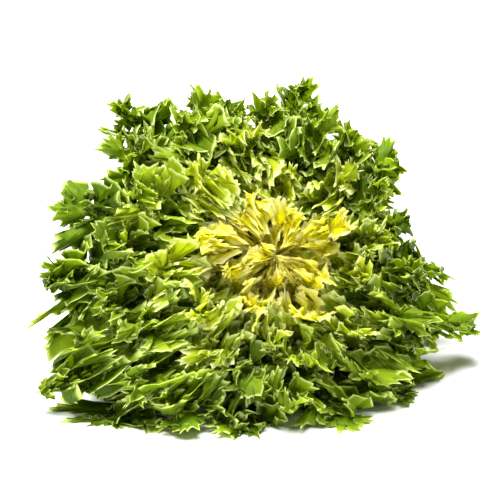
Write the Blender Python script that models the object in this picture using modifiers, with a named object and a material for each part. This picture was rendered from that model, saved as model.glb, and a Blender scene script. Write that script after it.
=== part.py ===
"""Curly endive head, lying on its side with the open heart facing forward (-Y) and up.

Leaves grow in one spiral round a short stem. Each leaf is a thin blade on one surface of a nested family of
bowls that open from the stem, so a blade never meets the next one. The margin is cut into lobes, and the
lobes stand in front of and behind the blade in turn. The head has slumped to be wider low down than at its
top. It rests on the edge of its cut stem and on the lowest outer leaves, whose undersides are pressed flat
there.
"""

import math

import bmesh
import bpy
import numpy as np
from mathutils import Matrix, Vector

# How the head lies, in metres and radians
AXIS_RISE = math.radians(35)
CROWN_HEIGHT = 0.0530
WIDEST_OPENING = math.radians(108)
OPENING_BLEND = 9.0
LEAST_OPENING = 0.5
FLOOR_DIP = 0.034
FLOOR_SOFTNESS = 0.004
FLOOR_GAP = 0.00045
FLAT_SPOT_DEPTH = 0.0006
LOW_WIDTH = 1.17
HIGH_WIDTH = 0.92
SLUMP_LEVELS = (0.010, 0.085)
SLUMP_DISTANCES = (0.018, 0.060)

# The spiral of leaves
LEAF_COUNT = 56
GOLDEN_TURN = math.pi * (3 - math.sqrt(5))
OUTERMOST_RANK = 0.98
SEED = 74

# Sizes of a leaf in the heart and of an outermost one
LEAF_LENGTHS = (0.095, 0.158)
HALF_WIDTHS = (0.020, 0.038)
LENGTH_POWER = 0.6
WIDTH_POWER = 0.7
SIZE_SPREAD = (0.94, 1.06)
UPPER_CORNER_REACH = 0.16
RIB_THICKNESS = 0.0026
BLADE_THICKNESS = 0.0008

# The stem
STEM_TOP_RADIUS = 0.0040
STEM_FOOT_RADIUS = 0.0190
STEM_LENGTH = 0.0380
STEM_CLEARANCE = 0.0018
STEM_RINGS = 9
STEM_SIDES = 24
BUTT_CHAMFER = 0.0015
STEM_RADIUS_POWER = 0.7
STEM_LEVEL_POWER = 1.2

# Shape of one blade, as shares of its length or half-width
CURVE_LENGTH = 0.160
UPRIGHT_SHARE = 0.5
PETIOLE_END = 0.28
PETIOLE_WIDTH = 0.16
PETIOLE_FLARE = 0.10
SHOULDER = 0.72
SHOULDER_ALONG = 0.68
RIB_END = 0.93
RIB_TAPER = 0.75
HALF_TURNS = (math.radians(22), math.radians(75))
HALF_TURN_PLACES = (0.1, 0.5)
SIDE_LOBES = 5
NOTCH_DEPTH = 0.55
LOBE_LEAN = 0.25
COLUMNS = (-1, -0.6, 0, 0.6, 1)
MERGE_DISTANCE = 1e-5

# How far the lobes stand out of the blade
LIFT_SPREAD = (0.55, 1.0)
TIP_LIFT = 0.8
LIFT_POWER = 1.5
LIFT_ROOM = 0.0145
MOST_LIFT = 0.0115
HEART_LIFT = 0.6
HEART_RANKS = (0.15, 0.45)
NARROW_EDGE = 0.012
LEAST_SWING = 0.004

# Names, leaf counts and colours from the heart outwards
GROUPS = (
    ("heart_leaf", 11, (0.72, 0.66, 0.10)),
    ("inner_leaf", 11, (0.45, 0.58, 0.06)),
    ("middle_leaf", 17, (0.20, 0.38, 0.03)),
    ("outer_leaf", 17, (0.11, 0.26, 0.02)),
)
STEM_COLOUR = (0.80, 0.76, 0.58)
LEAF_ROUGHNESS = 0.45
STEM_ROUGHNESS = 0.60

# The head's own directions: turns are counted from X_AXIS towards UP_AXIS
X_AXIS = np.array((1.0, 0.0, 0.0))
HEAD_AXIS = np.array((0.0, -math.cos(AXIS_RISE), math.sin(AXIS_RISE)))
UP_AXIS = np.cross(HEAD_AXIS, X_AXIS)
CROWN = np.array((0.0, 0.0, CROWN_HEIGHT))


def smooth(low, high, value):
    """0 below low and 1 above high, with a smooth step between."""
    share = np.clip((value - low) / (high - low), 0, 1)
    return share * share * (3 - 2 * share)


def between(ends, share):
    return ends[0] + (ends[1] - ends[0]) * share


def opening(turn):
    """Angle that the outermost bowl opens to: less where it meets the surface that the head lies on."""
    fall = np.sin(turn) * math.cos(AXIS_RISE)
    rise = math.sin(AXIS_RISE)
    start = CROWN_HEIGHT + FLOOR_DIP + STEM_FOOT_RADIUS * fall - STEM_LENGTH * rise
    reach = CURVE_LENGTH * np.hypot(fall, rise)
    level_with_floor = np.arccos(-start / reach) - np.arctan2(-fall, rise)
    touching = np.maximum(level_with_floor, LEAST_OPENING) * 2 / (1 + UPRIGHT_SHARE)
    return (touching**-OPENING_BLEND + WIDEST_OPENING**-OPENING_BLEND) ** (-1 / OPENING_BLEND)


def stem_radius(rank):
    return between((STEM_TOP_RADIUS, STEM_FOOT_RADIUS), np.maximum(rank, 0) ** STEM_RADIUS_POWER)


def stem_level(rank):
    return -STEM_LENGTH * np.maximum(rank, 0) ** STEM_LEVEL_POWER


def bowl_radius_and_level(rank, along, turn):
    """Distance from the head's axis and level along it, on the bowl of this rank (0 heart, 1 outermost)."""
    tip_angle = rank * opening(turn)
    start = UPRIGHT_SHARE * tip_angle
    bend = (1 - UPRIGHT_SHARE) * tip_angle * along / CURVE_LENGTH
    chord = along * np.sinc(bend / 2 / math.pi)
    radius = stem_radius(rank) + chord * np.sin(start + bend / 2)
    level = stem_level(rank) + chord * np.cos(start + bend / 2)
    return radius, level


def slump(points):
    """Widens the head low down and narrows it at the top, except close to the stem."""
    level = smooth(*SLUMP_LEVELS, points[..., 2])
    away = smooth(*SLUMP_DISTANCES, np.abs(points[..., 0]))
    width = between((LOW_WIDTH, HIGH_WIDTH), level)
    points[..., 0] *= 1 + (width - 1) * away
    return points


def bowl_point(rank, along, turn):
    """Point of the bowl in space, eased upwards where it would pass below the surface."""
    radius, level = bowl_radius_and_level(rank, along, turn)
    outwards = np.multiply.outer(np.cos(turn), X_AXIS) + np.multiply.outer(np.sin(turn), UP_AXIS)
    points = CROWN + outwards * radius[..., None] + level[..., None] * HEAD_AXIS
    depth = (points[..., 2] - FLOOR_GAP) / FLOOR_SOFTNESS
    points[..., 2] = FLOOR_GAP + FLOOR_SOFTNESS * np.logaddexp(0, depth)
    return slump(points)


def leaf_rank(number):
    """Ranks that spread the leaf tips evenly over the head."""
    share = (number + 0.5) / LEAF_COUNT
    return OUTERMOST_RANK * math.acos(1 - (1 - math.cos(WIDEST_OPENING)) * share) / WIDEST_OPENING


def make_leaf(number):
    """The numbers that set one leaf apart from the next."""
    rank = leaf_rank(number)
    turn = number * GOLDEN_TURN
    draw = np.random.default_rng(SEED + number)
    size = draw.uniform(*SIZE_SPREAD)
    reach = size * (1 + UPPER_CORNER_REACH * max(math.sin(turn), 0) * math.sin(2 * turn) ** 2)
    signs = np.where(np.arange(SIDE_LOBES + 2) % 2 == 0, 1.0, -1.0)
    lifts = signs * draw.uniform(*LIFT_SPREAD, (2, SIDE_LOBES + 2))
    lifts[1] *= draw.choice((-1.0, 1.0))
    lifts[:, -1] = draw.uniform(-TIP_LIFT, TIP_LIFT)
    return {
        "rank": rank,
        "turn": turn,
        "length": reach * between(LEAF_LENGTHS, rank**LENGTH_POWER),
        "half_width": size * between(HALF_WIDTHS, rank**WIDTH_POWER),
        "lifts": lifts,
    }


def margin_at(place):
    """Outline of the blade as (share of length, share of half-width), from petiole (0) to tip (1)."""
    round_tip = math.pi / 2 * np.clip((place - SHOULDER) / (1 - SHOULDER), 0, 1)
    below = np.minimum(place, SHOULDER) / SHOULDER * SHOULDER_ALONG
    along = below + (1 - SHOULDER_ALONG) * np.sin(round_tip)
    wide = PETIOLE_WIDTH + (1 - PETIOLE_WIDTH) * smooth(PETIOLE_END - PETIOLE_FLARE, SHOULDER, place)
    return along, wide * np.cos(round_tip)


def lobe_phase(place):
    """Whole numbers at the lobes' tips, halves at the notches between them."""
    return 0.5 + (SIDE_LOBES + 0.5) * (place - PETIOLE_END) / (1 - PETIOLE_END)


def lobe_lift(lifts, phase):
    """Lift of the margin, from -1 to 1: each lobe's own at its tip, and 0 at a notch and on the petiole."""
    near = np.clip(np.round(phase), 0, SIDE_LOBES + 1).astype(int)
    lift = lifts[near] * np.cos(math.pi * np.clip(phase - near, -0.5, 0.5))
    return np.where(phase < 0.5, 0.0, lift)


def leaf_point(leaf, place, across):
    """Point of the blade: place runs from petiole (0) to tip (1), across from margin (-1) to margin (1)."""
    out = np.abs(across)
    phase = lobe_phase(place)
    notch = np.where(phase > 0.5, 0.5 - 0.5 * np.cos(2 * math.pi * phase), 1.0)
    along_share, wide_share = margin_at(place)
    edge = leaf["half_width"] * wide_share * (1 - NOTCH_DEPTH * notch)
    rib = RIB_END * place * leaf["length"]
    margin = along_share * leaf["length"] + LOBE_LEAN * edge * smooth(0, PETIOLE_END, place)
    along = rib + (margin - rib) * out
    radius, _ = bowl_radius_and_level(leaf["rank"], along, np.full_like(along, leaf["turn"]))
    most_turn = between(HALF_TURNS, smooth(*HALF_TURN_PLACES, place))
    turn = leaf["turn"] + np.sign(across) * most_turn * np.tanh(edge * out / (radius * most_turn))

    left, right = leaf["lifts"]
    lift_share = np.where(across > 0, lobe_lift(right, phase), lobe_lift(left, phase)) * out**LIFT_POWER
    room = np.minimum(LIFT_ROOM * along**2 / np.maximum(edge, NARROW_EDGE), MOST_LIFT)
    room = room * between((HEART_LIFT, 1), smooth(*HEART_RANKS, leaf["rank"]))
    lift = lift_share * room * opening(turn) / WIDEST_OPENING
    swing = opening(turn) * (UPRIGHT_SHARE * along + (1 - UPRIGHT_SHARE) * along**2 / (2 * CURVE_LENGTH))
    return bowl_point(leaf["rank"] + lift / np.maximum(swing, LEAST_SWING), along, turn)


def blade_places():
    """Rows of the blade: two on the petiole, then one at each notch and each lobe's tip."""
    lobes = PETIOLE_END + (1 - PETIOLE_END) * np.arange(2 * SIDE_LOBES + 2) / (2 * SIDE_LOBES + 1)
    return np.concatenate(((0.0, PETIOLE_END / 2), lobes))


def add_leaf(name, leaf, material, collection):
    """One blade: a grid bent to the leaf's shape, halves joined at the tip, thickened most along the rib."""
    places = blade_places()
    columns = np.array(COLUMNS)
    shape = bmesh.new()
    bmesh.ops.create_grid(shape, x_segments=len(columns) - 1, y_segments=len(places) - 1, size=1)
    grid = np.array([vert.co for vert in shape.verts])
    column = np.rint((grid[:, 0] + 1) / 2 * (len(columns) - 1)).astype(int)
    row = np.rint((grid[:, 1] + 1) / 2 * (len(places) - 1)).astype(int)
    place, across = places[row], columns[column]
    points = leaf_point(leaf, place, across)
    thin = BLADE_THICKNESS / RIB_THICKNESS
    rib_shares = (1 - smooth(0, 0.5, np.abs(across))) * (1 - RIB_TAPER * place)
    weights = shape.verts.layers.deform.verify()
    for vert, point, rib_share in zip(shape.verts, points, rib_shares):
        vert.co = point
        vert[weights][0] = thin + (1 - thin) * rib_share
    bmesh.ops.triangulate(shape, faces=shape.faces)
    bmesh.ops.remove_doubles(shape, verts=shape.verts, dist=MERGE_DISTANCE)
    mesh = bpy.data.meshes.new(name)
    shape.to_mesh(mesh)
    shape.free()
    mesh.materials.append(material)
    mesh.shade_smooth()
    blade = bpy.data.objects.new(name, mesh)
    collection.objects.link(blade)
    blade.vertex_groups.new(name="thickness")
    thicken = blade.modifiers.new("Thickness", "SOLIDIFY")
    thicken.thickness = RIB_THICKNESS
    thicken.offset = 0
    thicken.vertex_group = "thickness"
    return blade


def rest_on_surface(blade):
    """Applies the thickness, and flattens the underside where the blade lies on the surface."""
    graph = bpy.context.evaluated_depsgraph_get()
    mesh = bpy.data.meshes.new_from_object(blade.evaluated_get(graph))
    for vert in mesh.vertices:
        if vert.co.z < FLAT_SPOT_DEPTH:
            vert.co.z = 0
    blade.modifiers.clear()
    blade.data = mesh


def stem_profile():
    """Half-section of the stem as (radius, level), top to cut face. The face's edge meets the surface."""
    ranks = np.linspace(0, 1, STEM_RINGS)
    radii = stem_radius(ranks) - STEM_CLEARANCE
    edge_radius = radii[-1]
    edge_level = (edge_radius * math.cos(AXIS_RISE) - CROWN_HEIGHT) / math.sin(AXIS_RISE)
    face_level = edge_level - BUTT_CHAMFER
    return (
        (0, radii[0] / 2),
        *zip(radii, stem_level(ranks)),
        (edge_radius, edge_level),
        (edge_radius - BUTT_CHAMFER, face_level),
        (0, face_level),
    )


def add_stem(material, collection):
    """The short stem that carries the leaves, turned about the head's axis and cut square at its foot."""
    shape = bmesh.new()
    outline = [shape.verts.new((radius, 0, level)) for radius, level in stem_profile()]
    for upper, lower in zip(outline, outline[1:]):
        shape.edges.new((upper, lower))
    mesh = bpy.data.meshes.new("stem")
    shape.to_mesh(mesh)
    shape.free()
    mesh.materials.append(material)
    stem = bpy.data.objects.new("stem", mesh)
    collection.objects.link(stem)
    turned = stem.modifiers.new("Turned", "SCREW")
    turned.steps = turned.render_steps = STEM_SIDES
    turned.use_merge_vertices = True
    turned.merge_threshold = MERGE_DISTANCE
    stem.matrix_world = Matrix.Translation(CROWN) @ Matrix((X_AXIS, UP_AXIS, HEAD_AXIS)).transposed().to_4x4()


def centre_over_origin(pieces):
    """Moves the head so that the middle of its bounding box stands over the origin."""
    graph = bpy.context.evaluated_depsgraph_get()
    points = np.array([
        piece.matrix_world @ vert.co
        for piece in pieces
        for vert in piece.evaluated_get(graph).data.vertices
    ])
    middle = (points.min(axis=0) + points.max(axis=0)) / 2
    for piece in pieces:
        piece.matrix_world.translation -= Vector((middle[0], middle[1], 0))


def make_material(name, colour, roughness):
    material = bpy.data.materials.new(name)
    material.use_nodes = True
    shader = material.node_tree.nodes["Principled BSDF"]
    shader.inputs["Base Color"].default_value = (*colour, 1)
    shader.inputs["Roughness"].default_value = roughness
    shader.inputs["Metallic"].default_value = 0
    return material


def main():
    for old in list(bpy.data.objects):
        bpy.data.objects.remove(old)
    head = bpy.data.collections.new("curly_endive_head")
    bpy.context.scene.collection.children.link(head)
    add_stem(make_material("stem", STEM_COLOUR, STEM_ROUGHNESS), head)
    number = 0
    for name, count, colour in GROUPS:
        material = make_material(name, colour, LEAF_ROUGHNESS)
        for place in range(count):
            blade = add_leaf(f"{name}_{place + 1:02d}", make_leaf(number), material, head)
            rest_on_surface(blade)
            number += 1
    centre_over_origin(head.objects)


if __name__ == "__main__":
    main()
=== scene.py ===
"""Looks of a curly endive head: frilled leaves and the cut stem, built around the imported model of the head.

Each leaf is first drawn flat, as rays that run from its rib to its cut margin. The rays are then curled and
ruffled, and the whole leaf is laid on the same bowl that carries the solid blade it replaces.
"""

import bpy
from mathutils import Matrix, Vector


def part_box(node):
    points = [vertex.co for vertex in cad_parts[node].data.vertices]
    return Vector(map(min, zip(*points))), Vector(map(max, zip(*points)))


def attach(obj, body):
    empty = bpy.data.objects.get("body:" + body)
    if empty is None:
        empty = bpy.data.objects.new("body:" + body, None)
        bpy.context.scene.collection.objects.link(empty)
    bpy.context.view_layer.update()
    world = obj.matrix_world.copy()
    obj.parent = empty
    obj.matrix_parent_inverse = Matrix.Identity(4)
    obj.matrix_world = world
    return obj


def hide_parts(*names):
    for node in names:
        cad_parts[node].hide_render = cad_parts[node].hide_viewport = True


bl_info = {
    "name": "Curly Endive Head",
    "version": (1, 0, 0),
    "blender": (4, 5, 0),
    "location": "View3D > Sidebar > Endive",
    "description": "Builds the frilled leaves, the cut stem and a plain stage for a curly endive head",
    "category": "Object",
}

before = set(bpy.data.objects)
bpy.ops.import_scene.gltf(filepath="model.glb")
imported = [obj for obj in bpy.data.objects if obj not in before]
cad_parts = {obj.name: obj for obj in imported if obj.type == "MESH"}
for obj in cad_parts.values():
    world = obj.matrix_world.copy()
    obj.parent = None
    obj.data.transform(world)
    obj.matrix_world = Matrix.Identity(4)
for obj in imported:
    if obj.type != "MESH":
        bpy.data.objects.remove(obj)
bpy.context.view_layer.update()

import math

import bpy
import numpy as np
from bpy.props import FloatProperty, FloatVectorProperty, IntProperty, PointerProperty
from mathutils import Vector

# How the head lies, in metres and radians, as in the solid model
AXIS_RISE = math.radians(35)
CROWN_HEIGHT = 0.0530
WIDEST_OPENING = math.radians(108)
OPENING_BLEND = 9.0
LEAST_OPENING = 0.5
FLOOR_DIP = 0.034
FLOOR_SOFTNESS = 0.004
FLOOR_GAP = 0.00045
LOW_WIDTH = 1.17
HIGH_WIDTH = 0.92
SLUMP_LEVELS = (0.010, 0.085)
SLUMP_DISTANCES = (0.018, 0.060)
X_AXIS = np.array((1.0, 0.0, 0.0))
HEAD_AXIS = np.array((0.0, -math.cos(AXIS_RISE), math.sin(AXIS_RISE)))
UP_AXIS = np.cross(HEAD_AXIS, X_AXIS)

# The spiral of leaves, as in the solid model
LEAF_COUNT = 56
GOLDEN_TURN = math.pi * (3 - math.sqrt(5))
OUTERMOST_RANK = 0.98
SOLID_SEED = 74
LEAF_LENGTHS = (0.095, 0.158)
HALF_WIDTHS = (0.020, 0.038)
LENGTH_POWER = 0.6
WIDTH_POWER = 0.7
SIZE_SPREAD = (0.94, 1.06)
UPPER_CORNER_REACH = 0.16
RIB_THICKNESS = 0.0026

# The stem, as in the solid model
STEM_TOP_RADIUS = 0.0040
STEM_FOOT_RADIUS = 0.0190
STEM_LENGTH = 0.0380
STEM_CLEARANCE = 0.0018
STEM_CHAMFER = 0.0015
STEM_RADIUS_POWER = 0.7
STEM_LEVEL_POWER = 1.2

# Shape of one blade, as in the solid model
CURVE_LENGTH = 0.160
UPRIGHT_SHARE = 0.5
PETIOLE_END = 0.28
PETIOLE_WIDTH = 0.16
PETIOLE_FLARE = 0.10
SHOULDER = 0.72
SHOULDER_ALONG = 0.68
RIB_END = 0.93
HALF_TURNS = (math.radians(22), math.radians(75))
HALF_TURN_PLACES = (0.1, 0.5)
SIDE_LOBES = 5
NOTCH_DEPTH = 0.55
LOBE_LEAN = 0.25
LIFT_SPREAD = (0.55, 1.0)
TIP_LIFT = 0.8
LIFT_POWER = 1.5
LIFT_ROOM = 0.0145
MOST_LIFT = 0.0115
HEART_LIFT = 0.6
HEART_RANKS = (0.15, 0.45)
NARROW_EDGE = 0.012
LEAST_SWING = 0.004

# How far a fine blade strays from its own bowl, and how the heart's leaves bend over its middle
FURTHEST_RANK = 1.05
RANK_SOFTNESS = 0.03
NOD_POWER = 3.0
NOD_RANKS = (0.15, 0.5)
NOD_SPREAD = (0.4, 1.2)
LIFT_RANKS = (0.25, 0.5)

# Outline of the fine blade's lobes: shares of a lobe's size, and phases from one lobe to the next
FINE_LOBES = 12
LOBE_CENTRE = 0.73
LOBE_HALF_TURN = math.radians(130)
LOBE_PHASES = (-0.45, 0.45)
LOBE_WIDTH_SPREAD = (0.8, 1.25)
WIDEST_LOBE = 0.62
NECK_PHASE = 0.22
NECK_START = -0.36
NECK_END = 0.24
SINUS_PHASE = 0.47
WING_SHARE = 0.10
FOOT_PLACE = 0.62
FOOT_PHASE = 0.4
BLADE_PHASES = (0.45, 0.62)
TIP_LOBE_WIDTH = 0.9
TIP_LOBE_START = FINE_LOBES + 0.56
TIP_PHASE_START = 0.55
TIP_PHASE_SPAN = 0.45
STANDING_SIZES = (0.64, 1.0)
LYING_SIZES = (0.90, 1.18)
HEART_FULLNESS = 0.9
FULLNESS_FALL = 0.35
FULL_PLACES = (0.5, 0.97)
OUTLINE_STEPS = 60

# Small lobes and teeth along the margin
SMALL_LOBE_SPREAD = (0.7, 1.35)
CUT_SPREAD = (0.6, 1.5)
DEEPEST_CUT = 0.55
SCALLOP_POWER = 0.5
SAMPLES_A_TOOTH = 4
TOOTH_SPREAD = (0.45, 1.45)
TOOTH_POWER = 1.5
LEAST_REACH = 1e-4

# How lobes and their margin bend
LYING_RISE = 0.5
RISE_END = 0.3
TWIST_END = 0.5
LOBE_WIDTH = 0.010
LOBE_WINDOW_POWER = 0.7
CRISP_SPREAD = (0.5, 1.3)
TIP_CURL_SPREAD = (0.3, 1.2)
BEND_STEPS = 50
BEND_POWER = 1.3
FRILL_START = 0.42
FRILL_WINDOW_POWER = 0.6
FLIPPED_SHARE = 0.25
TILT_HEIGHT = 0.3
HEART_RUFFLE = 0.5
FLUTTER_POWER = 6
RUFFLE_POWER = 2
RUFFLE_SLANT = 1.5

# Rings of points from the rib (0) to the margin (1), and how many margin points go to one of a ring's
COARSE_RINGS = (0.0, 0.14, 0.28, 0.42)
MIDDLE_RINGS = (0.42, 0.62, 0.82)
FINE_RINGS = (0.82, 0.92, 1.0)
COARSE_STEP = 4
MIDDLE_STEP = 2

# The rib of a fine blade
RIB_RINGS = 40
RIB_SIDES = 8
RIB_TAPER_POWER = 0.8
RIB_FILL = 0.85
LEAST_RIB = 0.00035
RIB_THINNING = 0.8
RIB_RAISE = 0.4

# Least length that is divided by
TINY = 1e-9

# Names and leaf counts from the heart outwards
GROUPS = (("heart_leaf", 11), ("inner_leaf", 11), ("middle_leaf", 17), ("outer_leaf", 17))

# Sockets of the Mix node in its colour mode
MIX_FACTOR = 0
MIX_A = 6
MIX_B = 7
MIX_RESULT = 2


# Where things are on the head

def smooth(low, high, value):
    """0 below low and 1 above high, with a smooth step between."""
    share = np.clip((value - low) / (high - low), 0, 1)
    return share * share * (3 - 2 * share)


def between(ends, share):
    return ends[0] + (ends[1] - ends[0]) * share


def stem_radius(rank):
    return between((STEM_TOP_RADIUS, STEM_FOOT_RADIUS), np.maximum(rank, 0) ** STEM_RADIUS_POWER)


def stem_level(rank):
    return -STEM_LENGTH * np.maximum(rank, 0) ** STEM_LEVEL_POWER


def stem_edge():
    """Radius of the stem at its cut, and the level of the cut where its lower edge rests on the surface."""
    radius = STEM_FOOT_RADIUS - STEM_CLEARANCE
    return radius, (radius * math.cos(AXIS_RISE) - CROWN_HEIGHT) / math.sin(AXIS_RISE)


def find_crown():
    """The point that the leaves grow round, found from the stem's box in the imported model."""
    low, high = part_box("stem")
    radius, level = stem_edge()
    face_corner = (radius - STEM_CHAMFER) * math.sin(AXIS_RISE) - (level - STEM_CHAMFER) * math.cos(AXIS_RISE)
    wide_corner = radius * math.sin(AXIS_RISE) - level * math.cos(AXIS_RISE)
    return np.array(((low.x + high.x) / 2, high.y - max(face_corner, wide_corner), CROWN_HEIGHT))


CROWN = find_crown()


def opening(turn):
    """Angle that the outermost bowl opens to: less where it meets the surface that the head lies on."""
    fall = np.sin(turn) * math.cos(AXIS_RISE)
    rise = math.sin(AXIS_RISE)
    start = CROWN_HEIGHT + FLOOR_DIP + STEM_FOOT_RADIUS * fall - STEM_LENGTH * rise
    reach = CURVE_LENGTH * np.hypot(fall, rise)
    level_with_floor = np.arccos(-start / reach) - np.arctan2(-fall, rise)
    touching = np.maximum(level_with_floor, LEAST_OPENING) * 2 / (1 + UPRIGHT_SHARE)
    return (touching**-OPENING_BLEND + WIDEST_OPENING**-OPENING_BLEND) ** (-1 / OPENING_BLEND)


def bowl_radius_and_level(rank, along, turn):
    """Distance from the head's axis and level along it, on the bowl of this rank (0 heart, 1 outermost)."""
    tip_angle = rank * opening(turn)
    start = UPRIGHT_SHARE * tip_angle
    bend = (1 - UPRIGHT_SHARE) * tip_angle * along / CURVE_LENGTH
    chord = along * np.sinc(bend / 2 / math.pi)
    radius = stem_radius(rank) + chord * np.sin(start + bend / 2)
    level = stem_level(rank) + chord * np.cos(start + bend / 2)
    return radius, level


def slump(points):
    """Widens the head low down and narrows it at the top, except close to the stem."""
    from_middle = points[..., 0] - CROWN[0]
    level = smooth(*SLUMP_LEVELS, points[..., 2])
    away = smooth(*SLUMP_DISTANCES, np.abs(from_middle))
    width = between((LOW_WIDTH, HIGH_WIDTH), level)
    points[..., 0] += from_middle * (width - 1) * away
    return points


def bowl_point(rank, along, turn):
    """Point of the bowl in space, eased upwards where it would pass below the surface."""
    radius, level = bowl_radius_and_level(rank, along, turn)
    outwards = np.multiply.outer(np.cos(turn), X_AXIS) + np.multiply.outer(np.sin(turn), UP_AXIS)
    points = CROWN + outwards * radius[..., None] + level[..., None] * HEAD_AXIS
    depth = (points[..., 2] - FLOOR_GAP) / FLOOR_SOFTNESS
    points[..., 2] = FLOOR_GAP + FLOOR_SOFTNESS * np.logaddexp(0, depth)
    return slump(points)


def lay_on_bowl(leaf, along, sideways, height):
    """Points in space of a flat leaf's points. Height is how far they stand behind the leaf's own bowl.

    An outer leaf's points are moved on to other bowls, so that leaves don't cross. A heart leaf's points go
    straight out from their own bowl, so that the leaf keeps its width where it leans over the head's axis.
    """
    radius, _ = bowl_radius_and_level(leaf["rank"], along, np.full_like(along, leaf["turn"]))
    place = along / (RIB_END * leaf["length"])
    most_turn = between(HALF_TURNS, smooth(*HALF_TURN_PLACES, place))
    turn = leaf["turn"] + most_turn * np.tanh(sideways / (radius * most_turn))
    swing = opening(turn) * (UPRIGHT_SHARE * along + (1 - UPRIGHT_SHARE) * along**2 / (2 * CURVE_LENGTH))
    nod = leaf["nod"] * np.maximum(along / leaf["length"], 0) ** NOD_POWER
    lift = (height - nod) * opening(turn) / WIDEST_OPENING
    by_rank = smooth(*LIFT_RANKS, leaf["rank"])
    rank = leaf["rank"] + by_rank * lift / np.maximum(swing, LEAST_SWING)
    rank = FURTHEST_RANK - RANK_SOFTNESS * np.logaddexp(0, (FURTHEST_RANK - rank) / RANK_SOFTNESS)
    slope = leaf["rank"] * opening(turn) * (UPRIGHT_SHARE + (1 - UPRIGHT_SHARE) * along / CURVE_LENGTH)
    away = lift * (1 - by_rank)
    outwards = np.multiply.outer(np.cos(turn), X_AXIS) + np.multiply.outer(np.sin(turn), UP_AXIS)
    behind = outwards * (away * np.cos(slope))[..., None] - HEAD_AXIS * (away * np.sin(slope))[..., None]
    return bowl_point(rank, along, turn) + behind


# One leaf

def leaf_rank(number):
    """Ranks that spread the leaf tips evenly over the head."""
    share = (number + 0.5) / LEAF_COUNT
    return OUTERMOST_RANK * math.acos(1 - (1 - math.cos(WIDEST_OPENING)) * share) / WIDEST_OPENING


def make_leaf(number):
    """The numbers that set one leaf apart from the next, drawn as for its solid blade."""
    rank = leaf_rank(number)
    turn = number * GOLDEN_TURN
    draw = np.random.default_rng(SOLID_SEED + number)
    size = draw.uniform(*SIZE_SPREAD)
    reach = size * (1 + UPPER_CORNER_REACH * max(math.sin(turn), 0) * math.sin(2 * turn) ** 2)
    signs = np.where(np.arange(SIDE_LOBES + 2) % 2 == 0, 1.0, -1.0)
    lifts = signs * draw.uniform(*LIFT_SPREAD, (2, SIDE_LOBES + 2))
    lifts[1] *= draw.choice((-1.0, 1.0))
    lifts[:, -1] = draw.uniform(-TIP_LIFT, TIP_LIFT)
    return {
        "rank": rank,
        "turn": turn,
        "length": reach * between(LEAF_LENGTHS, rank**LENGTH_POWER),
        "half_width": size * between(HALF_WIDTHS, rank**WIDTH_POWER),
        "lifts": lifts,
    }


def place_at(phase):
    """Share of the rib's length at a phase: lobes grow at whole numbers, and notches lie at halves."""
    return PETIOLE_END + (1 - PETIOLE_END) * (phase - 0.5) / (FINE_LOBES + 0.5)


def solid_phase(phase):
    """The phase of the solid blade's fewer lobes at the same place."""
    return 0.5 + (SIDE_LOBES + 0.5) * (phase - 0.5) / (FINE_LOBES + 0.5)


def solid_edge(leaf, place):
    """Margin of the solid blade, lobe tips joined up, as (along, sideways) in metres."""
    round_tip = math.pi / 2 * np.clip((place - SHOULDER) / (1 - SHOULDER), 0, 1)
    below = np.minimum(place, SHOULDER) / SHOULDER * SHOULDER_ALONG
    along = below + (1 - SHOULDER_ALONG) * np.sin(round_tip)
    wide = between((PETIOLE_WIDTH, 1), smooth(PETIOLE_END - PETIOLE_FLARE, SHOULDER, place))
    edge = leaf["half_width"] * wide * np.cos(round_tip)
    return along * leaf["length"] + LOBE_LEAN * edge * smooth(0, PETIOLE_END, place), edge


def lobe_outline(neck, tip, half_width, shares):
    """Points round a lobe from its lower side (share 0) to its upper side (share 1)."""
    axis = tip - neck
    across = np.array((axis[1], -axis[0])) / np.hypot(*axis)
    turn = (2 * shares - 1) * LOBE_HALF_TURN
    out = LOBE_CENTRE + (1 - LOBE_CENTRE) * np.cos(turn)
    return neck + np.multiply.outer(out, axis) + np.multiply.outer(half_width * np.sin(turn), across)


def stands(lobe):
    """Whether this lobe stands up in front of the blade."""
    return lobe % 2 == 1


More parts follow.
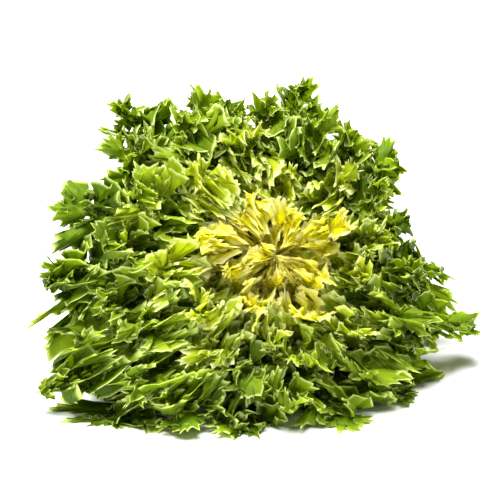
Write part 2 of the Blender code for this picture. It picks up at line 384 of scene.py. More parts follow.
def half_outline(leaf, shape, draw):
    """Smooth margin of half a blade from foot to tip, before it is cut into small lobes and teeth.

    Its columns are the phase, the place of the ray's foot on the rib, along and sideways of the margin, along
    and sideways of the lobe's neck, and the direction of the lobe's axis.
    """
    length = leaf["length"]
    spacing = RIB_END * length * (place_at(2) - place_at(1))
    petiole = leaf["half_width"] * PETIOLE_WIDTH
    foot = FOOT_PLACE * PETIOLE_END
    rows = [
        (0.0, 0.0, 0.0, petiole, 0, 0, 0),
        (FOOT_PHASE, foot, foot * RIB_END * length, petiole, 0, 0, 0),
    ]
    shares = np.linspace(0, 1, OUTLINE_STEPS)
    for lobe in range(1, FINE_LOBES + 1):
        along, edge = solid_edge(leaf, place_at(lobe))
        size = draw.uniform(*(STANDING_SIZES if stands(lobe) else LYING_SIZES))
        fullness = HEART_FULLNESS - FULLNESS_FALL * leaf["rank"]
        size *= 1 + fullness * (1 - smooth(*FULL_PLACES, place_at(lobe)))
        neck = np.array((RIB_END * length * place_at(lobe - NECK_PHASE), WING_SHARE * edge))
        tip = neck + (np.array((along, edge)) - neck) * size
        wide = spacing * shape.lobe_width * draw.uniform(*LOBE_WIDTH_SPREAD)
        wide = min(wide, WIDEST_LOBE * math.hypot(*(tip - neck)))
        points = lobe_outline(neck, tip, wide, shares)
        feet = place_at(lobe + NECK_START + (NECK_END - NECK_START) * shares)
        phases = lobe + LOBE_PHASES[0] + (LOBE_PHASES[1] - LOBE_PHASES[0]) * shares
        axis = (*neck, math.atan2(*(tip - neck)[::-1]))
        sides = np.maximum(points[:, 1], WING_SHARE * edge)
        rows.extend((*row, *axis) for row in zip(phases, feet, points[:, 0], sides))
        sinus = place_at(lobe + SINUS_PHASE)
        rows.append((lobe + 0.5, sinus, RIB_END * length * sinus, WING_SHARE * edge, *axis))
    start = place_at(TIP_LOBE_START)
    neck = np.array((RIB_END * length * start, 0.0))
    tip = np.array((length, 0.0))
    points = lobe_outline(neck, tip, spacing * TIP_LOBE_WIDTH, shares / 2)
    feet = start + (1 - start) * smooth(0, 1, shares)
    phases = FINE_LOBES + TIP_PHASE_START + TIP_PHASE_SPAN * shares
    rows.extend((*row, *neck, 0) for row in zip(phases, feet, points[:, 0], points[:, 1]))
    return np.array(rows)


def small_lobes(from_tip, pitch, draw):
    """The small lobe that each margin point is on, the place across it (-0.5 to 0.5) and its width."""
    most = int(from_tip.max() / pitch / SMALL_LOBE_SPREAD[0]) + 2
    widths = pitch * draw.uniform(*SMALL_LOBE_SPREAD, most)
    widths[0] = pitch
    ends = np.cumsum(widths) - pitch / 2
    number = np.searchsorted(ends, from_tip)
    return number, (from_tip - ends[number]) / widths[number] + 0.5, widths[number]


def half_margin(leaf, shape, draw):
    """The cut margin of half a blade, with what each of its rays needs."""
    size = 1 - shape.heart_fineness * (1 - leaf["rank"])
    outline = half_outline(leaf, shape, draw)
    steps = np.hypot(*np.diff(outline[:, 2:4], axis=0).T)
    travel = np.concatenate(((0.0,), np.cumsum(steps)))
    teeth = COARSE_STEP * round(travel[-1] / (shape.tooth_pitch * size) / COARSE_STEP)
    count = teeth * SAMPLES_A_TOOTH + 1
    share = np.linspace(0, 1, count)
    from_tip = travel[-1] * (1 - share)
    phase, foot, along, sideways, neck_along, neck_side, direction = (
        np.interp(travel[-1] * share, travel, column) for column in outline.T
    )
    tangent = np.stack((np.gradient(along), np.gradient(sideways)))
    tangent /= np.maximum(np.hypot(*tangent), TINY)
    outward = np.stack((-tangent[1], tangent[0]))
    outward[:, -1] = (1, 0)

    small, across, width = small_lobes(from_tip, shape.sub_lobe_pitch * size, draw)
    foot = RIB_END * leaf["length"] * foot
    reach = np.hypot(along - foot, sideways)
    blade = smooth(*BLADE_PHASES, phase)
    cuts = draw.uniform(*CUT_SPREAD, small.max() + 1)
    cuts[0] = 1
    depth = shape.sub_lobe_depth * size * cuts[small]
    cut = np.minimum(depth / np.maximum(reach, LEAST_REACH), DEEPEST_CUT)
    keep = 1 - cut * blade * (1 - np.cos(math.pi * across) ** SCALLOP_POWER)

    tooth = np.arange(count) / SAMPLES_A_TOOTH
    heights = draw.uniform(*TOOTH_SPREAD, teeth + 1)
    heights[-1] = 1
    heights = np.interp(tooth, np.arange(teeth + 1), heights)
    point = np.abs(2 * (tooth % 1) - 1) ** TOOTH_POWER
    grow = shape.tooth_height * size * point * heights * blade
    return {
        "phase": phase,
        "foot": foot,
        "along": foot + (along - foot) * keep + outward[0] * grow,
        "sideways": np.maximum(sideways * keep + outward[1] * grow, 0),
        "neck": np.stack((neck_along, neck_side)),
        "axis": np.stack((np.cos(direction), np.sin(direction))),
        "from_tip": from_tip,
        "tooth": tooth,
        "blade": blade,
        "small": small,
        "across": across,
        "width": width,
    }


def lobe_values(values, phase):
    """Each lobe's own value on its rays, and 0 at the notches."""
    near = np.clip(np.round(phase), 0, len(values) - 1).astype(int)
    window = np.cos(math.pi * np.clip(phase - near, -0.5, 0.5)) ** LOBE_WINDOW_POWER
    return np.where(phase < 0.5, 0.0, values[near] * window)


def one_sided(draw, least, most, share_in_front, count):
    """Angles of random size, this share of them towards the front of the leaf, which is the negative side."""
    sign = np.where(draw.uniform(size=count) < share_in_front, -1.0, 1.0)
    return sign * draw.uniform(least, most, count)


def half_blade(leaf, side, shape, draw, tip):
    """Rings of points of half a blade from rib to margin, as (rings of points, rings of texture places)."""
    margin = half_margin(leaf, shape, draw)
    phase, small, across = margin["phase"], margin["small"], margin["across"]
    lobes = FINE_LOBES + 2
    standing = stands(np.arange(lobes))
    lifts = leaf["lifts"][0 if side < 0 else 1]
    curls = one_sided(draw, shape.least_curl, shape.most_curl, shape.front_share, lobes)
    raised = -draw.uniform(shape.least_rise, shape.most_rise, lobes) * np.where(standing, 1, LYING_RISE)
    raised[-1] = 0
    cups = draw.uniform(-shape.most_cup, shape.most_cup, lobes)
    twists = draw.uniform(-shape.most_twist, shape.most_twist, lobes)
    crisp = draw.uniform(*CRISP_SPREAD, lobes)
    curls[-1], cups[-1], twists[-1], crisp[-1] = tip["curl"], tip["cup"], 0, tip["crisp"]
    near = np.clip(np.round(phase), 0, FINE_LOBES + 1).astype(int)

    smalls = small.max() + 1
    frills = one_sided(draw, shape.least_frill, shape.most_frill, shape.front_share, smalls)
    flipped = np.where(draw.uniform(size=smalls) < FLIPPED_SHARE, -1, 1)
    frills *= np.where(np.arange(smalls) % 2 == 0, 1, -1) * flipped
    tilts = draw.uniform(-1, 1, smalls) * shape.small_tilt
    frills[0], tilts[0] = tip["frill"], 0
    window = np.cos(math.pi * across) ** FRILL_WINDOW_POWER * margin["blade"] * crisp[near]
    frill = frills[small] * window

    ray = np.stack((margin["along"] - margin["foot"], margin["sideways"]))
    reach = np.hypot(*ray)
    ray = ray / np.maximum(reach, TINY)
    _, edge = solid_edge(leaf, place_at(phase))
    room = np.minimum(LIFT_ROOM * margin["along"] ** 2 / np.maximum(edge, NARROW_EDGE), MOST_LIFT)
    room = room * between((HEART_LIFT, 1), smooth(*HEART_RANKS, leaf["rank"]))
    lift = lobe_values(lifts, solid_phase(phase)) * room
    curl = lobe_values(curls, phase)
    rise = lobe_values(raised, phase)
    cup = lobe_values(cups, phase)
    twist = lobe_values(twists, phase)
    loop = np.sin(2 * math.pi * across) * margin["width"] * margin["blade"] * crisp[near]
    tilt = np.sin(tilts[small]) * loop * TILT_HEIGHT
    spread = shape.spread * loop
    size = between((HEART_RUFFLE, 1), leaf["rank"])
    flutter = shape.flutter * size * margin["blade"] * np.cos(math.pi * margin["tooth"])
    wave = 2 * math.pi * margin["from_tip"] / shape.ruffle_pitch + tip["phase"]
    ruffle = shape.ruffle * size * margin["blade"] * crisp[near]

    middles = (np.arange(BEND_STEPS) + 0.5) / BEND_STEPS
    angles = np.multiply.outer(middles**BEND_POWER, curl)
    angles = angles + np.multiply.outer(smooth(0, RISE_END, middles), rise)
    angles = angles + np.multiply.outer(smooth(FRILL_START, 1, middles), frill)
    start = np.zeros((1, len(reach)))
    forwards = np.concatenate((start, np.cumsum(np.cos(angles), axis=0))) / BEND_STEPS
    rises = np.concatenate((start, np.cumsum(np.sin(angles), axis=0))) / BEND_STEPS

    points, places = [], []
    for out in (*COARSE_RINGS, *MIDDLE_RINGS[1:], *FINE_RINGS[1:]):
        step = round(out * BEND_STEPS)
        late = smooth(FRILL_START, 1, out)
        angle = curl * out**BEND_POWER + rise * smooth(0, RISE_END, out) + frill * late
        flat = np.stack((margin["foot"], np.zeros(len(reach)))) + ray * reach * out - margin["neck"]
        from_axis = flat[1] * margin["axis"][0] - flat[0] * margin["axis"][1]
        turned = twist * smooth(0, TWIST_END, out)
        shift = from_axis * (np.cos(turned) - 1)
        stand = from_axis * np.sin(turned) + cup * from_axis**2 / LOBE_WIDTH
        stand = stand + tilt * late + flutter * out**FLUTTER_POWER
        stand = stand + ruffle * out**RUFFLE_POWER * np.sin(wave + RUFFLE_SLANT * out)
        forward = reach * forwards[step] - stand * np.sin(angle)
        height = reach * rises[step] + stand * np.cos(angle) + lift * out**LIFT_POWER
        along = margin["foot"] + ray[0] * forward + ray[1] * spread * late - margin["axis"][1] * shift
        sideways = ray[1] * forward - ray[0] * spread * late + margin["axis"][0] * shift
        density = COARSE_STEP if out <= COARSE_RINGS[-1] else MIDDLE_STEP if out <= MIDDLE_RINGS[-1] else 1
        keep = slice(None, None, density)
        points.append(lay_on_bowl(leaf, along[keep], side * sideways[keep], height[keep]))
        u = along[keep] / leaf["length"]
        v = np.full_like(u, out)
        places.append(np.stack((u, v, margin["from_tip"][keep], reach[keep] * out), axis=-1))
    return points, places


def ring_faces(inner, outer, flip):
    """Faces between two rings of vertex numbers. The outer ring may have two steps to the inner one's one."""
    ratio = (len(outer) - 1) // (len(inner) - 1)
    first, second = inner[:-1], inner[1:]
    start, end = outer[:-1:ratio], outer[ratio::ratio]
    if ratio == 1:
        faces = np.stack((first, second, end, start), axis=-1).tolist()
    else:
        middle = outer[1::2]
        faces = np.concatenate((
            np.stack((first, second, middle), axis=-1),
            np.stack((second, end, middle), axis=-1),
            np.stack((first, middle, start), axis=-1),
        )).tolist()
    return [face[::-1] for face in faces] if flip else faces


def rib_tube(leaf):
    """The leaf's stalk and rib: a closed, tapering, flattened rod along the middle of the blade."""
    share = np.linspace(0, 1, RIB_RINGS)
    along = RIB_END * leaf["length"] * share
    petiole = leaf["half_width"] * PETIOLE_WIDTH * (1 - NOTCH_DEPTH)
    half_width = petiole * (1 - share) ** RIB_TAPER_POWER * RIB_FILL + LEAST_RIB
    half_depth = RIB_THICKNESS / 2 * (1 - RIB_THINNING * share)
    turn = 2 * math.pi * np.arange(RIB_SIDES) / RIB_SIDES
    sideways = np.multiply.outer(half_width, np.cos(turn))
    height = np.multiply.outer(half_depth, np.sin(turn)) + half_depth[:, None] * RIB_RAISE
    points = lay_on_bowl(leaf, np.repeat(along[:, None], RIB_SIDES, axis=1), sideways, height)
    faces = []
    for ring in range(RIB_RINGS - 1):
        for side in range(RIB_SIDES):
            a = ring * RIB_SIDES + side
            b = ring * RIB_SIDES + (side + 1) % RIB_SIDES
            faces.append((a, b, b + RIB_SIDES, a + RIB_SIDES))
    faces.append(tuple(range(RIB_SIDES))[::-1])
    faces.append(tuple(range((RIB_RINGS - 1) * RIB_SIDES, RIB_RINGS * RIB_SIDES)))
    places = np.zeros((RIB_RINGS, RIB_SIDES, 4))
    places[..., 0] = np.repeat((along / leaf["length"])[:, None], RIB_SIDES, axis=1)
    return points.reshape(-1, 3), places.reshape(-1, 4), faces


def leaf_mesh(name, number, age, shape):
    """One frilled leaf with its rib. Its age runs from 0 to 1 within its group."""
    leaf = make_leaf(number)
    draw = np.random.default_rng((shape.seed, number))
    leaf["nod"] = draw.uniform(*NOD_SPREAD) * shape.heart_nod * (1 - smooth(*NOD_RANKS, leaf["rank"]))
    tip = {
        "curl": -draw.uniform(*TIP_CURL_SPREAD) * shape.most_curl,
        "cup": draw.uniform(-1, 1) * shape.most_cup,
        "crisp": draw.uniform(*CRISP_SPREAD),
        "frill": draw.uniform(-1, 1) * shape.most_frill,
        "phase": draw.uniform(0, 2 * math.pi),
    }
    points, places, faces = [], [], []
    count = 0
    for side in (-1, 1):
        rings, ring_places = half_blade(leaf, side, shape, draw, tip)
        numbers = []
        for ring, ring_place in zip(rings, ring_places):
            numbers.append(np.arange(count, count + len(ring)))
            count += len(ring)
            points.append(ring)
            places.append(ring_place)
        for inner, outer in zip(numbers, numbers[1:]):
            faces.extend(ring_faces(inner, outer, side > 0))
    rib_points, rib_places, rib_faces = rib_tube(leaf)
    faces.extend(tuple(corner + count for corner in face) for face in rib_faces)
    points = np.concatenate((*points, rib_points))
    places = np.concatenate((*places, rib_places))
    mesh = bpy.data.meshes.new(name)
    mesh.from_pydata(points.tolist(), [], faces)
    corners = np.zeros(len(mesh.loops), dtype=np.int32)
    mesh.loops.foreach_get("vertex_index", corners)
    for layer, columns in (("blade", slice(0, 2)), ("veins", slice(2, 4))):
        uv = mesh.uv_layers.new(name=layer)
        uv.data.foreach_set("uv", places[corners, columns].astype(np.float32).ravel())
    uv = mesh.uv_layers.new(name="growth")
    uv.data.foreach_set("uv", np.tile(np.float32((age, draw.uniform())), len(corners)))
    mesh.shade_smooth()
    return mesh


# Finishes

# Noise, the ranges that colours change over, how much of one is mixed into another, and the skin
PATCH_SCALE = 22.0
PATCH_RANGE = (0.35, 0.65)
MOTTLE_SCALE = 320.0
MOTTLE_DETAIL = 3.0
MOTTLE_SHARE = 0.08
AGE_SHARE = 0.7
CHANCE_SHARE = 0.4
# Painted shade: where the blade's darkening towards its deep colour fades out from rib to margin, and how
# strong it is
PAINTED_SHADE_RANGE = (0.4, 0.9)
PAINTED_SHADE_SHARE = 0.6
# Pale rim at the margin: partly the thin edge's paler colour, partly painted highlight
RIM_AND_HIGHLIGHT_SHARE = 0.95
RIB_RANGE = (0.0006, 0.0040)
RIB_SHARE = 0.55
FOOT_RANGE = (0.15, 0.42)
VEIN_PITCH = 0.0068
VEIN_POWER = 12.0
VEIN_RANGE = (0.6, 1.0)
VEIN_SHARE = 0.15
VEIN_RELIEF = 0.2
LEAF_BUMP_DEPTH = 0.0006
LEAF_BUMP_STRENGTH = 0.5
LEAF_IOR = 1.40
LEAF_SPECULAR = 0.12
BLOTCH_SCALE = 90.0
BLOTCH_DETAIL = 4.0
SKIN_RANGE = (0.3, 0.7)
STAIN_RANGE = (0.25, 0.6)
GRAIN_SCALE = 700.0
FIBRE_WAVES = 23
FIBRE_RELIEF = 0.3
STEM_BUMP_DEPTH = 0.0005
STEM_BUMP_STRENGTH = 0.6
PLAIN_SPECULAR = 0.1


def add_node(tree, kind, **values):
    """A new node with these inputs, by name, set or linked."""
    node = tree.nodes.new(kind)
    for name, value in values.items():
        set_input(tree, node.inputs[name.replace("_", " ")], value)
    return node


def set_input(tree, socket, value):
    if isinstance(value, bpy.types.NodeSocket):
        tree.links.new(value, socket)
    else:
        socket.default_value = value


def mix_colours(tree, factor, first, second, mode="MIX"):
    node = tree.nodes.new("ShaderNodeMix")
    node.data_type = "RGBA"
    node.blend_type = mode
    for index, value in ((MIX_FACTOR, factor), (MIX_A, first), (MIX_B, second)):
        set_input(tree, node.inputs[index], value)
    return node.outputs[MIX_RESULT]


def calculate(tree, operation, first, second=0.0):
    node = tree.nodes.new("ShaderNodeMath")
    node.operation = operation
    set_input(tree, node.inputs[0], first)
    set_input(tree, node.inputs[1], second)
    return node.outputs[0]


def map_range(tree, value, low, high):
    """0 at low and 1 at high, with a smooth step between."""
    node = tree.nodes.new("ShaderNodeMapRange")
    node.interpolation_type = "SMOOTHSTEP"
    node.inputs["From Min"].default_value = low
    node.inputs["From Max"].default_value = high
    set_input(tree, node.inputs["Value"], value)
    return node.outputs["Result"]


def noise(tree, vector, scale, detail=2.0):
    node = add_node(tree, "ShaderNodeTexNoise", Vector=vector, Scale=scale, Detail=detail)
    return node.outputs["Fac"]


def bump(tree, relief, depth, strength):
    node = add_node(tree, "ShaderNodeBump", Height=relief, Distance=depth, Strength=strength)
    return node.outputs["Normal"]


def uv_parts(tree, layer):
    node = tree.nodes.new("ShaderNodeUVMap")
    node.uv_map = layer
    parts = add_node(tree, "ShaderNodeSeparateXYZ", Vector=node.outputs["UV"])
    return parts.outputs["X"], parts.outputs["Y"]


def leaf_material(name, finish):
    """Waxy blade that lets light through, paler towards the rib, the foot and the frilled margin, where the
    pale rim is partly painted highlight, and darkened with painted shade away from the margin.
    """
    material = bpy.data.materials.new(name)
    material.use_nodes = True
    tree = material.node_tree
    shader = tree.nodes["Principled BSDF"]
    output = tree.nodes["Material Output"]
    where = tree.nodes.new("ShaderNodeTexCoord").outputs["Object"]
    up_leaf, out = uv_parts(tree, "blade")
    round_margin, from_rib = uv_parts(tree, "veins")
    age, chance = uv_parts(tree, "growth")

    deep = (*finish.deep, 1)
    margin = (*finish.margin, 1)
    patches = noise(tree, where, PATCH_SCALE)
    mottle = noise(tree, where, MOTTLE_SCALE, MOTTLE_DETAIL)
    aged = calculate(tree, "MULTIPLY", age, AGE_SHARE)
    blade = mix_colours(tree, aged, (*finish.blade, 1), (*finish.older, 1))
    blade = mix_colours(tree, calculate(tree, "MULTIPLY", chance, CHANCE_SHARE), blade, deep)
    blade = mix_colours(tree, map_range(tree, patches, *PATCH_RANGE), deep, blade)
    blade = mix_colours(tree, calculate(tree, "MULTIPLY", mottle, MOTTLE_SHARE), blade, margin)
    # Painted shade: the blade turns towards its deep colour away from the margin
    painted_shade = calculate(tree, "SUBTRACT", 1.0, map_range(tree, out, *PAINTED_SHADE_RANGE))
    blade = mix_colours(tree, calculate(tree, "MULTIPLY", painted_shade, PAINTED_SHADE_SHARE), blade, deep)
    # Pale rim: partly the margin's paler colour, partly painted highlight
    rim = calculate(tree, "MULTIPLY", map_range(tree, out, finish.rim_and_highlight_start, 1.0), RIM_AND_HIGHLIGHT_SHARE)
    blade = mix_colours(tree, rim, blade, margin)
    near_rib = calculate(tree, "SUBTRACT", 1.0, map_range(tree, from_rib, *RIB_RANGE))
    near_rib = calculate(tree, "MULTIPLY", near_rib, RIB_SHARE)
    near_foot = calculate(tree, "SUBTRACT", 1.0, map_range(tree, up_leaf, *FOOT_RANGE))
    pale = calculate(tree, "MAXIMUM", near_rib, near_foot)
    colour = mix_colours(tree, pale, blade, (*finish.rib, 1))

    vein_turn = calculate(tree, "MULTIPLY", round_margin, 2 * math.pi / VEIN_PITCH)
    vein_wave = calculate(tree, "SINE", vein_turn)
    vein = calculate(tree, "POWER", calculate(tree, "ABSOLUTE", vein_wave), VEIN_POWER)
    off_margin = calculate(tree, "SUBTRACT", 1.0, map_range(tree, out, *VEIN_RANGE))
    vein = calculate(tree, "MULTIPLY", vein, off_margin)
    vein_share = calculate(tree, "MULTIPLY", vein, VEIN_SHARE)
    colour = mix_colours(tree, vein_share, colour, (*finish.rib, 1))
    relief = calculate(tree, "SUBTRACT", mottle, calculate(tree, "MULTIPLY", vein, VEIN_RELIEF))
    normal = bump(tree, relief, LEAF_BUMP_DEPTH, LEAF_BUMP_STRENGTH)

    tree.links.new(colour, shader.inputs["Base Color"])
    tree.links.new(normal, shader.inputs["Normal"])
    shader.inputs["Roughness"].default_value = finish.roughness
    shader.inputs["IOR"].default_value = LEAF_IOR
    shader.inputs["Specular IOR Level"].default_value = LEAF_SPECULAR
    glow = mix_colours(tree, 1.0, colour, (*finish.glow, 1), "MULTIPLY")
    translucent = add_node(tree, "ShaderNodeBsdfTranslucent", Color=glow, Normal=normal)
    mixed = tree.nodes.new("ShaderNodeMixShader")
    mixed.inputs[0].default_value = finish.translucency
    tree.links.new(shader.outputs["BSDF"], mixed.inputs[1])
    tree.links.new(translucent.outputs["BSDF"], mixed.inputs[2])
    tree.links.new(mixed.outputs["Shader"], output.inputs["Surface"])
    return material


def stem_material(name, finish):
    """Cream skin with fibres along it, browned where it was cut."""
    material = bpy.data.materials.new(name)
    material.use_nodes = True
    tree = material.node_tree
    shader = tree.nodes["Principled BSDF"]
    where = tree.nodes.new("ShaderNodeTexCoord").outputs["Object"]
    blotches = noise(tree, where, BLOTCH_SCALE, BLOTCH_DETAIL)
    grain = noise(tree, where, GRAIN_SCALE)
    turn, browned = uv_parts(tree, "skin")
    fibres = calculate(tree, "SINE", calculate(tree, "MULTIPLY", turn, FIBRE_WAVES * 2 * math.pi))
    shaded = map_range(tree, blotches, *SKIN_RANGE)
    skin = mix_colours(tree, shaded, (*finish.skin, 1), (*finish.shade, 1))
    stain = calculate(tree, "MULTIPLY", browned, map_range(tree, blotches, *STAIN_RANGE))
    skin = mix_colours(tree, stain, skin, (*finish.cut, 1))
    relief = calculate(tree, "ADD", grain, calculate(tree, "MULTIPLY", fibres, FIBRE_RELIEF))
    normal = bump(tree, relief, STEM_BUMP_DEPTH, STEM_BUMP_STRENGTH)
    tree.links.new(skin, shader.inputs["Base Color"])
    tree.links.new(normal, shader.inputs["Normal"])
    shader.inputs["Roughness"].default_value = finish.roughness
    return material


def plain_material(name, colour, roughness):
    material = bpy.data.materials.new(name)
    material.use_nodes = True
    shader = material.node_tree.nodes["Principled BSDF"]
    shader.inputs["Base Color"].default_value = (*colour, 1)
    shader.inputs["Roughness"].default_value = roughness
    shader.inputs["Specular IOR Level"].default_value = PLAIN_SPECULAR
    return material


# The stem

STEM_SIDES = 72
STEM_RINGS = 34
SKIRT_RINGS = 10
RIDGED_RINGS = STEM_RINGS + 6
RIDGE_DEPTH = 0.05
RIDGE_TURNS = 4
RIDGE_TWIST = 0.55
BROWNING_POWER = 3
FACE_SHARES = (0.92, 0.86, 0.7, 0.5, 0.3, 0.12)
FACE_RELIEF = 0.0007
FACE_WAVES = 12


def stem_mesh(name):
    """The short stem with low ridges where leaf stalks grew, cut square at its foot."""
    ranks = np.linspace(0, 1, STEM_RINGS)
    edge_radius, edge_level = stem_edge()
    face_level = edge_level - STEM_CHAMFER
    radii = list(stem_radius(ranks) - STEM_CLEARANCE)
    levels = list(stem_level(ranks))
    browned = [0.0] * STEM_RINGS
    for share in np.linspace(1 / SKIRT_RINGS, 1, SKIRT_RINGS):
        radii.append(edge_radius)
        levels.append(between((levels[STEM_RINGS - 1], edge_level), share))
        browned.append(share**BROWNING_POWER)
    for share in FACE_SHARES:
        radii.append(edge_radius * share)
        levels.append(face_level + FACE_RELIEF * math.cos(share * FACE_WAVES) * (1 - share))
        browned.append(1.0)
    turn = 2 * math.pi * np.arange(STEM_SIDES) / STEM_SIDES
    points, places = [], []
    for ring, (radius, level, brown) in enumerate(zip(radii, levels, browned)):
        wave = np.abs(np.sin(RIDGE_TURNS * turn + RIDGE_TWIST * ring))
        ridges = 1 - RIDGE_DEPTH * wave * (ring < RIDGED_RINGS)
        outwards = np.multiply.outer(np.cos(turn), X_AXIS) + np.multiply.outer(np.sin(turn), UP_AXIS)
        points.append(CROWN + outwards * (radius * ridges)[:, None] + level * HEAD_AXIS)
        places.append(np.stack((turn / (2 * math.pi), np.full(STEM_SIDES, brown)), axis=-1))
    rings = len(radii)
    points = np.concatenate(points)
    places = np.concatenate(places)
    faces = []
    for ring in range(rings - 1):
        for side in range(STEM_SIDES):
            a = ring * STEM_SIDES + side
            b = ring * STEM_SIDES + (side + 1) % STEM_SIDES
            faces.append((b, a, a + STEM_SIDES, b + STEM_SIDES))
    faces.append(tuple(range(STEM_SIDES)))
    faces.append(tuple(range((rings - 1) * STEM_SIDES, rings * STEM_SIDES))[::-1])
    mesh = bpy.data.meshes.new(name)
    mesh.from_pydata(points.tolist(), [], faces)
    corners = np.zeros(len(mesh.loops), dtype=np.int32)
    mesh.loops.foreach_get("vertex_index", corners)
    uv = mesh.uv_layers.new(name="skin")
    uv.data.foreach_set("uv", places[corners].astype(np.float32).ravel())
    mesh.shade_smooth()
    return mesh


# Settings

def colour_setting(name, description, default):
    return FloatVectorProperty(
        name=name, description=description, default=default, subtype="COLOR", min=0, max=1
    )


def length_setting(name, description, default):
    return FloatProperty(
        name=name, description=description, default=default, unit="LENGTH", subtype="DISTANCE"
    )


def angle_setting(name, description, degrees):
    return FloatProperty(
        name=name, description=description, default=math.radians(degrees), unit="ROTATION", subtype="ANGLE"
    )


def number_setting(name, description, default):
    return FloatProperty(name=name, description=description, default=default)


def share_setting(name, description, default):
    return FloatProperty(name=name, description=description, default=default, min=0, max=1)


class BladeShape(bpy.types.PropertyGroup):
    """How the margin of every leaf is cut, curled and ruffled"""

    seed: IntProperty(name="Seed", description="Another seed curls every lobe in another way", default=5)
    lobe_width: number_setting("Lobe width", "Half-width of a lobe, as a share of the lobes' spacing", 1.0)
    tooth_pitch: length_setting("Tooth pitch", "Distance from one tooth to the next", 0.0038)
    tooth_height: length_setting("Tooth height", "How far a tooth of an outer leaf stands out", 0.0048)
    sub_lobe_pitch: length_setting("Scallop pitch", "Width of a small lobe of an outer leaf", 0.0092)
    sub_lobe_depth: length_setting("Scallop depth", "Depth of the cuts between small lobes", 0.0062)
    ruffle: length_setting("Ruffle", "Height of the margin's waves", 0.0016)
    ruffle_pitch: length_setting("Ruffle pitch", "Length of the margin's waves", 0.0070)
    least_frill: angle_setting("Least frill", "Least bend of a small lobe", 15)
    most_frill: angle_setting("Most frill", "Greatest bend of a small lobe", 90)
    small_tilt: angle_setting("Small tilt", "Greatest turn of a small lobe about its length", 60)
    spread: number_setting("Spread", "How far small lobes overlap", 0.17)
    front_share: number_setting("Front share", "Share of lobes that bend forwards", 0.7)
    heart_fineness: number_setting("Heart fineness", "How much finer the margin is at the heart", 0.48)
    heart_nod: length_setting("Heart nod", "How far the heart's leaves bend over its middle", 0.024)
    flutter: length_setting("Flutter", "How far each tooth leans to the front or back", 0.0012)
    least_curl: angle_setting("Least curl", "Least bend of a lobe from its neck to its end", 35)
    most_curl: angle_setting("Most curl", "Greatest bend of a lobe from its neck to its end", 120)
    least_rise: angle_setting("Least rise", "Least angle of a standing lobe to the blade", 35)
    most_rise: angle_setting("Most rise", "Greatest angle of a standing lobe to the blade", 85)
    most_twist: angle_setting("Most twist", "Greatest turn of a lobe about its own length", 85)
    most_cup: number_setting("Most cup", "Greatest depth of a lobe's hollow, as a share of its width", 0.7)


class LeafFinish(bpy.types.PropertyGroup):
    """Colours of one group of leaves"""

    blade: colour_setting("Blade", "Main colour of the blade", (0.2, 0.38, 0.03))
    older: colour_setting("Older", "Colour that the group's outermost leaves turn towards", (0.2, 0.38, 0.03))
    # The deep colour is also the painted shade that darkens each blade away from its margin
    deep: colour_setting("Deep", "Darker colour of the blade's patches", (0.1, 0.25, 0.02))
    # The margin colour is also the pale rim, which is partly painted highlight
    margin: colour_setting("Margin", "Colour of the frilled margin", (0.5, 0.65, 0.15))
    rib: colour_setting("Rib", "Colour of the rib and the stalk", (0.7, 0.75, 0.4))
    glow: colour_setting("Glow", "Tint of the light that comes through the blade", (1.0, 1.0, 0.4))
    roughness: share_setting("Roughness", "Roughness of the waxy skin", 0.32)
    # The pale rim is partly painted highlight
    rim_and_highlight_start: number_setting("Rim start", "Share of the way to the margin where the pale rim starts", 0.9)
    translucency: share_setting("Translucency", "Share of the light that goes through the blade", 0.4)


class StemFinish(bpy.types.PropertyGroup):
    """Colours of the stem"""

    skin: colour_setting("Skin", "Colour of the stem's skin", (0.80, 0.76, 0.55))
    shade: colour_setting("Shade", "Second colour of the stem's skin", (0.66, 0.66, 0.38))
    cut: colour_setting("Cut", "Colour of the browned cut", (0.42, 0.20, 0.08))
    roughness: share_setting("Roughness", "Roughness of the stem's skin", 0.55)


class StageSettings(bpy.types.PropertyGroup):
    """Camera, light and floor"""

    camera_rise: angle_setting("Camera rise", "Angle that the camera looks down at", 19.5)
    camera_turn: angle_setting("Camera turn", "Angle that the camera stands to the left", 13)
    camera_distance: length_setting("Camera distance", "Distance from the camera to the head", 1.2)
    lens: FloatProperty(name="Lens", description="Focal length of the camera", default=128.5, unit="CAMERA")
    aim: FloatVectorProperty(
        name="Aim",
        description="Point that the camera looks at",
        default=(-0.0225, -0.0444, 0.1222),
        subtype="XYZ",
        unit="LENGTH",
    )
    floor: colour_setting("Floor", "Colour of the floor", (0.93, 0.93, 0.94))
    sky: FloatProperty(name="Sky", description="Strength of the light from all sides", default=0.19, min=0)
    key: FloatProperty(name="Key", description="Strength of the soft light above", default=9.1, min=0)
    key_softness: angle_setting("Key softness", "Angle that the soft light above fills", 46)


class EndiveSettings(bpy.types.PropertyGroup):
    """All settings of the head"""

    shape: PointerProperty(type=BladeShape)
    heart_leaf: PointerProperty(type=LeafFinish)
    inner_leaf: PointerProperty(type=LeafFinish)
    middle_leaf: PointerProperty(type=LeafFinish)
    outer_leaf: PointerProperty(type=LeafFinish)
    stem: PointerProperty(type=StemFinish)
    stage: PointerProperty(type=StageSettings)


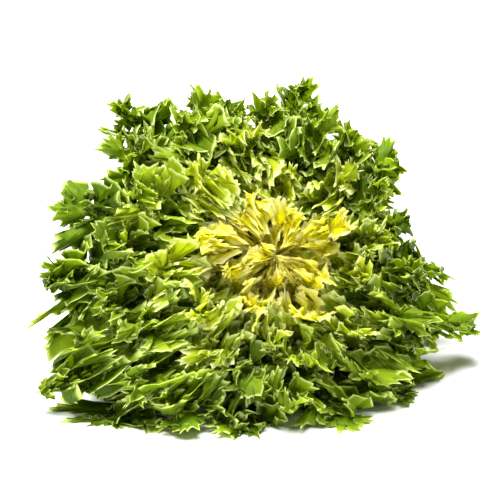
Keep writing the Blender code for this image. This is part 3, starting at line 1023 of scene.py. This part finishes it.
FINISHES = {
    "heart_leaf": {
        "blade": (0.96, 0.95, 0.006),
        "older": (0.84, 0.90, 0.005),
        "deep": (0.92, 0.88, 0.004),
        "margin": (1.0, 0.99, 0.74),
        "rib": (0.95, 0.93, 0.26),
        "glow": (1.0, 0.97, 0.24),
        "rim_and_highlight_start": 0.6,
        "translucency": 0.7,
    },
    "inner_leaf": {
        "blade": (0.74, 0.78, 0.006),
        "older": (0.40, 0.53, 0.004),
        "deep": (0.34, 0.46, 0.003),
        "margin": (0.95, 0.99, 0.54),
        "rib": (0.78, 0.84, 0.18),
        "glow": (1.0, 1.0, 0.14),
        "rim_and_highlight_start": 0.82,
        "translucency": 0.5,
    },
    "middle_leaf": {
        "blade": (0.49, 0.64, 0.003),
        "older": (0.32, 0.47, 0.003),
        "deep": (0.15, 0.26, 0.002),
        "margin": (0.84, 0.94, 0.36),
        "rib": (0.54, 0.68, 0.10),
        "glow": (1.0, 1.0, 0.14),
        "translucency": 0.46,
    },
    "outer_leaf": {
        "blade": (0.38, 0.54, 0.003),
        "older": (0.27, 0.42, 0.003),
        "deep": (0.10, 0.20, 0.002),
        "margin": (0.78, 0.90, 0.29),
        "rib": (0.50, 0.66, 0.09),
        "glow": (1.0, 1.0, 0.14),
        "translucency": 0.46,
    },
}


# Operators

FLOOR_SIZE = 12
FLOOR_ROUGHNESS = 0.8
WHITE = (1, 1, 1, 1)
LAMP_PLACE = (-0.22, -0.08, 1.25)
LAMP_AIM = (0, 0, 0.08)


def add_piece(context, name, mesh, material, node):
    """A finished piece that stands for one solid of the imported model."""
    mesh.materials.append(material)
    piece = bpy.data.objects.new(name, mesh)
    context.scene.collection.objects.link(piece)
    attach(piece, "root")
    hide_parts(node)
    return piece


def build_leaves(context, group):
    """Every leaf of one group, in place of the solid blades."""
    settings = context.scene.endive
    finish = getattr(settings, group)
    for name, value in FINISHES[group].items():
        setattr(finish, name, value)
    material = leaf_material(group, finish)
    first = 0
    for name, count in GROUPS:
        if name == group:
            break
        first += count
    for number in range(count):
        name = f"{group}_frilled_{number + 1:02d}"
        mesh = leaf_mesh(name, first + number, number / (count - 1), settings.shape)
        add_piece(context, mesh.name, mesh, material, f"{group}_{number + 1:02d}")


class ENDIVE_OT_heart_leaves(bpy.types.Operator):
    """Build the small pale yellow leaves of the heart"""

    bl_idname = "endive.heart_leaves"
    bl_label = "Heart leaves"

    def execute(self, context):
        build_leaves(context, "heart_leaf")
        return {"FINISHED"}


class ENDIVE_OT_inner_leaves(bpy.types.Operator):
    """Build the yellow-green leaves round the heart"""

    bl_idname = "endive.inner_leaves"
    bl_label = "Inner leaves"

    def execute(self, context):
        build_leaves(context, "inner_leaf")
        return {"FINISHED"}


class ENDIVE_OT_middle_leaves(bpy.types.Operator):
    """Build the green leaves"""

    bl_idname = "endive.middle_leaves"
    bl_label = "Middle leaves"

    def execute(self, context):
        build_leaves(context, "middle_leaf")
        return {"FINISHED"}


class ENDIVE_OT_outer_leaves(bpy.types.Operator):
    """Build the deep green outer leaves, which carry the head"""

    bl_idname = "endive.outer_leaves"
    bl_label = "Outer leaves"

    def execute(self, context):
        build_leaves(context, "outer_leaf")
        return {"FINISHED"}


class ENDIVE_OT_stem(bpy.types.Operator):
    """Build the short cut stem"""

    bl_idname = "endive.stem"
    bl_label = "Stem"

    def execute(self, context):
        mesh = stem_mesh("stem_cut")
        add_piece(context, "stem_cut", mesh, stem_material("stem", context.scene.endive.stem), "stem")
        return {"FINISHED"}


class ENDIVE_OT_stage(bpy.types.Operator):
    """Set up the floor, the light and the camera"""

    bl_idname = "endive.stage"
    bl_label = "Stage"

    def execute(self, context):
        stage = context.scene.endive.stage
        bpy.ops.mesh.primitive_plane_add(size=FLOOR_SIZE)
        floor = context.active_object
        floor.name = "floor"
        floor.data.materials.append(plain_material("floor", stage.floor, FLOOR_ROUGHNESS))

        world = bpy.data.worlds.new("studio")
        world.use_nodes = True
        background = world.node_tree.nodes["Background"]
        background.inputs["Color"].default_value = WHITE
        background.inputs["Strength"].default_value = stage.sky
        context.scene.world = world

        key = bpy.data.lights.new("key", "SUN")
        key.energy = stage.key
        key.angle = stage.key_softness
        lamp = bpy.data.objects.new("key", key)
        lamp.location = LAMP_PLACE
        lamp.rotation_euler = (Vector(LAMP_AIM) - lamp.location).to_track_quat("-Z", "Y").to_euler()
        context.scene.collection.objects.link(lamp)

        camera = bpy.data.objects.new("camera", bpy.data.cameras.new("camera"))
        camera.data.lens = stage.lens
        level = math.cos(stage.camera_rise)
        back = Vector((
            -math.sin(stage.camera_turn) * level,
            -math.cos(stage.camera_turn) * level,
            math.sin(stage.camera_rise),
        ))
        camera.location = Vector(stage.aim) + back * stage.camera_distance
        camera.rotation_euler = (-back).to_track_quat("-Z", "Y").to_euler()
        context.scene.collection.objects.link(camera)
        context.scene.camera = camera
        context.scene.view_settings.view_transform = "Standard"
        return {"FINISHED"}


class ENDIVE_PT_head(bpy.types.Panel):
    """Builds the head piece by piece"""

    bl_idname = "ENDIVE_PT_head"
    bl_label = "Curly endive head"
    bl_space_type = "VIEW_3D"
    bl_region_type = "UI"
    bl_category = "Endive"

    def draw(self, context):
        for operator in OPERATORS:
            self.layout.operator(operator.bl_idname)
        for name in BladeShape.__annotations__:
            self.layout.prop(context.scene.endive.shape, name)


OPERATORS = (
    ENDIVE_OT_stem,
    ENDIVE_OT_heart_leaves,
    ENDIVE_OT_inner_leaves,
    ENDIVE_OT_middle_leaves,
    ENDIVE_OT_outer_leaves,
    ENDIVE_OT_stage,
)
CLASSES = (BladeShape, LeafFinish, StemFinish, StageSettings, EndiveSettings, *OPERATORS, ENDIVE_PT_head)


def register():
    for item in CLASSES:
        bpy.utils.register_class(item)
    bpy.types.Scene.endive = PointerProperty(type=EndiveSettings)


def unregister():
    del bpy.types.Scene.endive
    for item in reversed(CLASSES):
        bpy.utils.unregister_class(item)


def main():
    """Builds the whole head."""
    register()
    bpy.ops.endive.stem()
    bpy.ops.endive.heart_leaves()
    bpy.ops.endive.inner_leaves()
    bpy.ops.endive.middle_leaves()
    bpy.ops.endive.outer_leaves()
    bpy.ops.endive.stage()


if __name__ == "__main__":
    main()
